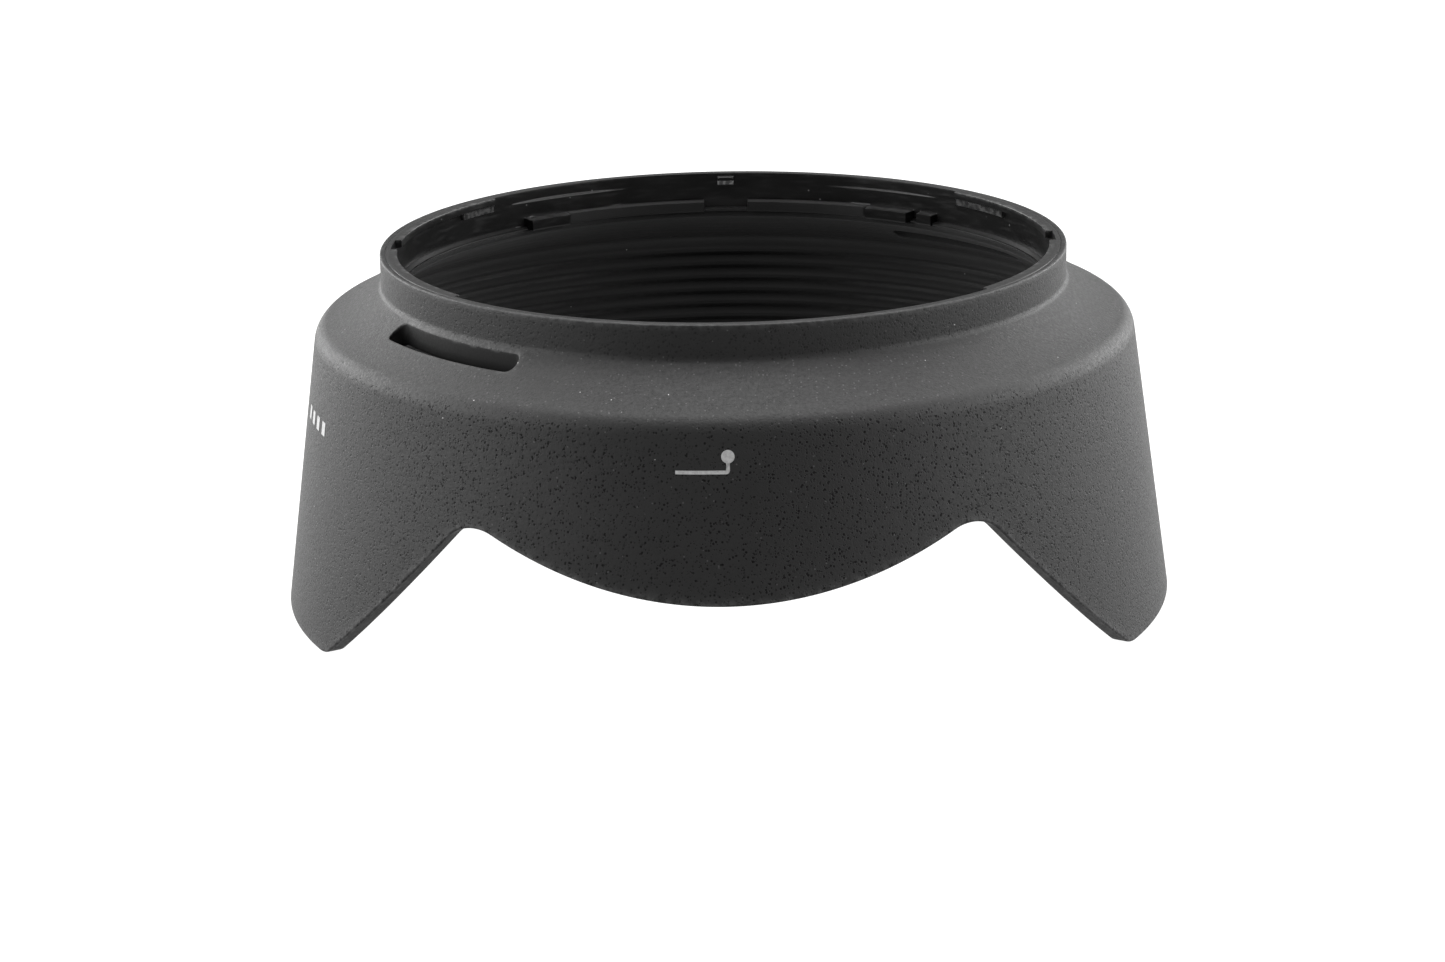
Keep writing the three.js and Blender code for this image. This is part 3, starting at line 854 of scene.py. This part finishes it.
class Finish:
    """A material with one glossy shader and short ways to add nodes to it.

    Greys are linear, from 0 for black to 1 for white.
    """

    def __init__(self, name):
        self.material = bpy.data.materials.new(name)
        self.material.use_nodes = True
        self.tree = self.material.node_tree
        self.shader = self.tree.nodes["Principled BSDF"]
        self.place = self.node("ShaderNodeTexCoord").outputs["Object"]

    def node(self, kind, settings=None, inputs=None):
        """A node with its settings, and a value or a socket for each named input."""
        made = self.tree.nodes.new(kind)
        for key, value in (settings or {}).items():
            setattr(made, key, value)
        for key, value in (inputs or {}).items():
            self.feed(made.inputs[key], value)
        return made

    def feed(self, socket, value):
        """Links a socket to another one, or sets it to a plain value."""
        if isinstance(value, bpy.types.NodeSocket):
            self.tree.links.new(value, socket)
        else:
            socket.default_value = value

    def surface(self, name, value):
        """Feeds one of the shader's own inputs."""
        self.feed(self.shader.inputs[name], value)

    def noise(self, size, detail=2.0, roughness=0.5, stretch=None):
        """Soft noise whose features are about size millimetres across."""
        place = self.place
        if stretch:
            mapping = self.node("ShaderNodeMapping", inputs={"Vector": place, "Scale": stretch})
            place = mapping.outputs["Vector"]
        inputs = {
            "Vector": place, "Scale": 1 / (size * MM), "Detail": detail, "Roughness": roughness
        }
        return self.node("ShaderNodeTexNoise", inputs=inputs).outputs["Fac"]

    def range(self, value, low, high, out_low=0.0, out_high=1.0):
        """Takes low to out_low and high to out_high, smoothly, and stays level beyond them."""
        settings = {"interpolation_type": "SMOOTHSTEP"}
        inputs = {
            "Value": value, "From Min": low, "From Max": high, "To Min": out_low, "To Max": out_high
        }
        return self.node("ShaderNodeMapRange", settings, inputs).outputs["Result"]

    def math(self, operation, first, second):
        made = self.node("ShaderNodeMath", {"operation": operation})
        self.feed(made.inputs[0], first)
        self.feed(made.inputs[1], second)
        return made.outputs["Value"]

    def mix(self, share, first, second):
        """Between two colours, each a grey or a colour socket."""
        made = self.node("ShaderNodeMix", {"data_type": "RGBA"})
        self.feed(made.inputs[0], share)
        self.feed(made.inputs[6], grey(first))
        self.feed(made.inputs[7], grey(second))
        return made.outputs[2]

    def specks(self, spacing, size, share):
        """Sparse round specks: one possible speck for each cell, and only a share of them."""
        inputs = {"Vector": self.place, "Scale": 1 / (spacing * MM)}
        cells = self.node("ShaderNodeTexVoronoi", inputs=inputs)
        radius = size / spacing
        inside = self.range(cells.outputs["Distance"], radius, 0.6 * radius)
        chance = self.node("ShaderNodeSeparateColor", inputs={"Color": cells.outputs["Color"]})
        chosen = self.math("LESS_THAN", chance.outputs["Red"], share)
        return self.math("MULTIPLY", inside, chosen)

    def level(self):
        """How high a point is above the ground, in metres."""
        return self.node("ShaderNodeSeparateXYZ", inputs={"Vector": self.place}).outputs["Z"]

    def upwards(self):
        """How far the surface faces up, from -1 to 1."""
        normal = self.node("ShaderNodeNewGeometry").outputs["Normal"]
        return self.node("ShaderNodeSeparateXYZ", inputs={"Vector": normal}).outputs["Z"]

    def attribute(self, name):
        return self.node("ShaderNodeAttribute", {"attribute_name": name}).outputs["Fac"]

    def bump(self, height, distance, below=None):
        """A bump whose full height is distance millimetres, on top of the one below it."""
        inputs = {"Height": height, "Distance": distance * MM, "Strength": 1.0}
        if below is not None:
            inputs["Normal"] = below
        return self.node("ShaderNodeBump", inputs=inputs).outputs["Normal"]


def grey(value):
    """A grey as a colour; a socket stays as it is."""
    if isinstance(value, bpy.types.NodeSocket):
        return value
    return (value, value, value, 1.0)


def textured_plastic():
    """Matt black plastic with a fine cast grain, small pits with painted shade, painted glints,
    dust, and edges with wear and a painted highlight.
    """
    finish = Finish("textured_black_plastic")
    grain = finish.noise(0.24, detail=3.0, roughness=0.65)
    cast = finish.noise(0.38, detail=3.0, roughness=0.7)
    facing_up = finish.range(finish.upwards(), 0.3, 0.8)

    # Pits come in patches. Their bump and their painted shade are weaker on faces that look up,
    # such as the shoulder, and on the collar.
    large = finish.specks(0.5, 0.18, share=0.7)
    small = finish.specks(0.33, 0.11, share=0.7)
    patches = finish.range(finish.noise(0.7, detail=3.0), 0.34, 0.54, 0.3, 1.0)
    on_sides = finish.range(facing_up, 0.0, 1.0, 1.0, 0.25)
    depth = finish.math("MULTIPLY", patches, on_sides)
    below_collar = finish.range(finish.level(), 36 * MM, 40 * MM, 1.0, 0.5)
    pits_and_painted_shade = finish.math("MULTIPLY", finish.math("MAXIMUM", large, small), depth)
    pits_and_painted_shade = finish.math("MULTIPLY", pits_and_painted_shade, below_collar)

    dust = finish.specks(1.2, 0.085, share=finish.range(facing_up, 0.0, 1.0, 0.05, 0.28))
    # Painted glints: light specks on the grain, more of them on faces that look up.
    painted_glints = finish.specks(0.42, 0.12, share=finish.range(facing_up, 0.0, 1.0, 0.04, 0.25))
    wear_and_highlight_noise = finish.range(finish.noise(0.8, detail=3.0), 0.35, 0.65)
    wear_and_highlight = finish.math("MULTIPLY", finish.attribute("wear_and_highlight"), wear_and_highlight_noise)

    tone = finish.mix(finish.range(finish.noise(14.0, detail=3.0), 0.3, 0.7), 0.0044, 0.0056)
    # Painted shade: the pits are black.
    tone = finish.mix(pits_and_painted_shade, tone, 0.0)
    tone = finish.mix(painted_glints, tone, 0.024)
    # Wear with a painted highlight: lighter along the edges.
    tone = finish.mix(finish.math("MULTIPLY", wear_and_highlight, 0.6), tone, 0.035)
    finish.surface("Base Color", finish.mix(dust, tone, 0.24))
    finish.surface("Roughness", finish.range(cast, 0.36, 0.64, 0.49, 0.61))
    # Painted shade in the pits: a black metal there reflects nothing head on, only at a glance.
    finish.surface("Metallic", finish.math("MULTIPLY", pits_and_painted_shade, 0.6))
    finish.surface("Specular IOR Level", 0.142)
    normal = finish.bump(grain, 0.03)
    normal = finish.bump(cast, 0.035, below=normal)
    normal = finish.bump(pits_and_painted_shade, -0.04, below=normal)
    finish.surface("Normal", normal)
    return finish.material


def cut_edge_plastic():
    """The smoother edge of the petals, the walls of the slots and the top of the rim."""
    finish = Finish("smooth_edge_plastic")
    grain = finish.noise(0.35)
    scuffs_and_highlight = finish.range(finish.noise(1.2, detail=4.0), 0.45, 0.7)
    wear_and_highlight = finish.math("MULTIPLY", finish.attribute("wear_and_highlight"), scuffs_and_highlight)
    base = finish.mix(finish.range(finish.noise(6.0), 0.3, 0.7), 0.0022, 0.0032)
    # Lighter where the edge is worn, with a painted highlight.
    finish.surface("Base Color", finish.mix(wear_and_highlight, base, 0.04))
    finish.surface("Roughness", finish.range(grain, 0.3, 0.7, 0.50, 0.60))
    finish.surface("Specular IOR Level", 0.08)
    finish.surface("Normal", finish.bump(grain, 0.012))
    return finish.material


def inside_plastic():
    """The dull lining: smoother than the outside, with faint turning marks and a little dust."""
    finish = Finish("inside_black_plastic")
    grain = finish.noise(0.22)
    turned = finish.noise(0.6, detail=3.0, stretch=(0.04, 0.04, 1.0))
    dust = finish.specks(2.0, 0.12, share=0.15)
    wear_and_highlight = finish.math("MULTIPLY", finish.attribute("wear_and_highlight"), 0.9)
    base = finish.mix(finish.range(finish.noise(9.0), 0.3, 0.7), 0.0022, 0.0032)
    # Lighter near the petals' edges: wear with a painted highlight.
    worn_and_highlit = finish.mix(wear_and_highlight, base, 0.035)
    finish.surface("Base Color", finish.mix(dust, worn_and_highlit, 0.10))
    finish.surface("Roughness", finish.range(turned, 0.3, 0.7, 0.48, 0.60))
    finish.surface("Specular IOR Level", 0.11)
    normal = finish.bump(grain, 0.012)
    finish.surface("Normal", finish.bump(turned, 0.01, below=normal))
    return finish.material


def ring_plastic():
    """The bayonet ring: glossy black, rubbed where the lens runs, with a painted highlight along
    its rim and block edges, and specks of dust.
    """
    finish = Finish("smooth_black_plastic")
    ripple = finish.noise(2.2)
    rubbed = finish.range(finish.noise(0.5, detail=4.0, stretch=(0.15, 0.15, 1.0)), 0.45, 0.8)
    dust = finish.specks(1.4, 0.15, share=0.25)
    patchy = finish.range(finish.noise(0.7), 0.40, 0.60, 0.12, 0.55)
    wear_and_highlight = finish.math("MULTIPLY", finish.attribute("wear_and_highlight"), patchy)
    base = finish.mix(finish.range(finish.noise(5.0), 0.3, 0.7), 0.0015, 0.0025)
    scuffed = finish.mix(finish.math("MULTIPLY", rubbed, 0.15), base, 0.02)
    # Lighter where rubbed, with a painted highlight along the rim and the top edges of the blocks.
    worn_and_highlit = finish.mix(wear_and_highlight, scuffed, 0.065)
    finish.surface("Base Color", finish.mix(dust, worn_and_highlit, 0.045))
    finish.surface("Roughness", finish.range(rubbed, 0.0, 1.0, 0.28, 0.36))
    finish.surface("Specular IOR Level", 0.12)
    finish.surface("Normal", finish.bump(ripple, 0.02))
    return finish.material


def print_ink():
    """Pad-printed light grey ink that takes the grain of the plastic under it."""
    finish = Finish("grey_print")
    grain = finish.noise(0.30, detail=2.5, roughness=0.55)
    thin = finish.range(finish.noise(0.5, detail=3.0), 0.28, 0.45)
    base = finish.mix(finish.range(grain, 0.35, 0.65), 0.13, 0.17)
    finish.surface("Base Color", finish.mix(thin, 0.09, base))
    finish.surface("Roughness", finish.range(grain, 0.3, 0.7, 0.5, 0.62))
    finish.surface("Normal", finish.bump(grain, 0.02))
    return finish.material


def floor_white():
    """A plain white table that is lit from below as well as above."""
    finish = Finish("white_table")
    tone = finish.mix(finish.range(finish.noise(60.0), 0.3, 0.7), 0.075, 0.085)
    finish.surface("Base Color", tone)
    finish.surface("Roughness", 0.7)
    finish.surface("Specular IOR Level", 0.1)
    finish.surface("Emission Color", (1, 1, 1, 1))
    finish.surface("Emission Strength", 1.0)
    return finish.material


# ---------------------------------------------------------------- the studio

SENSOR_WIDTH = 36.0
LENS = 77.2
CAMERA_DISTANCE = 393.8
CAMERA_ELEVATION = 19.002
CAMERA_TURN = 0.7  # the hood stands a little turned to the camera
CAMERA_PAN = 0.084
CAMERA_TILT = 1.706
CAMERA_ROLL = 0.987
NEAREST_SEEN = 0.01  # metres
FLOOR_SIZE = 3.0  # metres
WORLD_BRIGHTNESS = 0.3
# Evenly lit panels: place and size in metres, the way they face, and brightness. The front has
# none, so what faces the camera stays dark and the sides are bright.
PANELS = {
    "top_softbox": ((0, 0.05, 0.8), (0.64, 0.6), (0, 0, -1), 8.8),
    "ceiling_panel": ((0, 0.4, 0.95), (1.9, 1.2), (0, 0, -1), 3.6),
    "left_wall_panel": ((-0.8, 0.27, 0.36), (1.94, 0.72), (1, 0, 0), 9.8),
    "right_wall_panel": ((0.8, 0.27, 0.36), (1.94, 0.72), (-1, 0, 0), 9.4),
    "back_wall_panel": ((0, 0.95, 0.75), (1.8, 0.5), (0, -1, 0), 2.4),
}


def make_camera():
    data = bpy.data.cameras.new("camera")
    data.sensor_width = SENSOR_WIDTH
    data.lens = LENS
    camera = bpy.data.objects.new("camera", data)
    bpy.context.scene.collection.objects.link(camera)
    elevation = math.radians(CAMERA_ELEVATION)
    back = Vector((0, -math.cos(elevation), math.sin(elevation)))
    turn = Matrix.Rotation(math.radians(CAMERA_TURN), 4, "Z")
    look = back.to_track_quat("Z", "Y").to_matrix().to_4x4()
    pan = Matrix.Rotation(math.radians(CAMERA_PAN), 4, "Y")
    tilt = Matrix.Rotation(math.radians(CAMERA_TILT), 4, "X")
    roll = Matrix.Rotation(math.radians(-CAMERA_ROLL), 4, "Z")
    place = Matrix.Translation(back * CAMERA_DISTANCE * MM)
    camera.matrix_world = turn @ place @ look @ pan @ tilt @ roll
    data.clip_start = NEAREST_SEEN
    bpy.context.scene.camera = camera


def make_floor():
    """A flat white table under the hood."""
    mesh = bpy.data.meshes.new("floor")
    half = FLOOR_SIZE / 2
    corners = [(-half, -half, 0), (half, -half, 0), (half, half, 0), (-half, half, 0)]
    mesh.from_pydata(corners, [], [(0, 1, 2, 3)])
    mesh.materials.append(floor_white())
    floor = bpy.data.objects.new("floor", mesh)
    bpy.context.scene.collection.objects.link(floor)


def area_light(name, place, size, facing, brightness):
    """A panel that isn't seen itself; a brightness of 1 is pure white."""
    data = bpy.data.lights.new(name, "AREA")
    data.shape = "RECTANGLE"
    data.size, data.size_y = size
    data.energy = brightness * math.pi * size[0] * size[1]
    light = bpy.data.objects.new(name, data)
    bpy.context.scene.collection.objects.link(light)
    light.location = place
    light.rotation_euler = (-Vector(facing)).to_track_quat("Z", "Y").to_euler()
    light.visible_camera = False


def make_lights():
    world = bpy.data.worlds.new("studio")
    bpy.context.scene.world = world
    world.use_nodes = True
    world.node_tree.nodes["Background"].inputs["Color"].default_value = (1, 1, 1, 1)
    world.node_tree.nodes["Background"].inputs["Strength"].default_value = WORLD_BRIGHTNESS
    for name, panel in PANELS.items():
        area_light(name, *panel)
    bpy.context.scene.view_settings.view_transform = "Standard"


# ---------------------------------------------------------------- the whole

make_camera()
lining = inside_plastic()
cut_edge = cut_edge_plastic()
make_shell([textured_plastic(), cut_edge, lining])
make_ring([ring_plastic(), lining, cut_edge])
make_printing(print_ink())
make_floor()
make_lights()
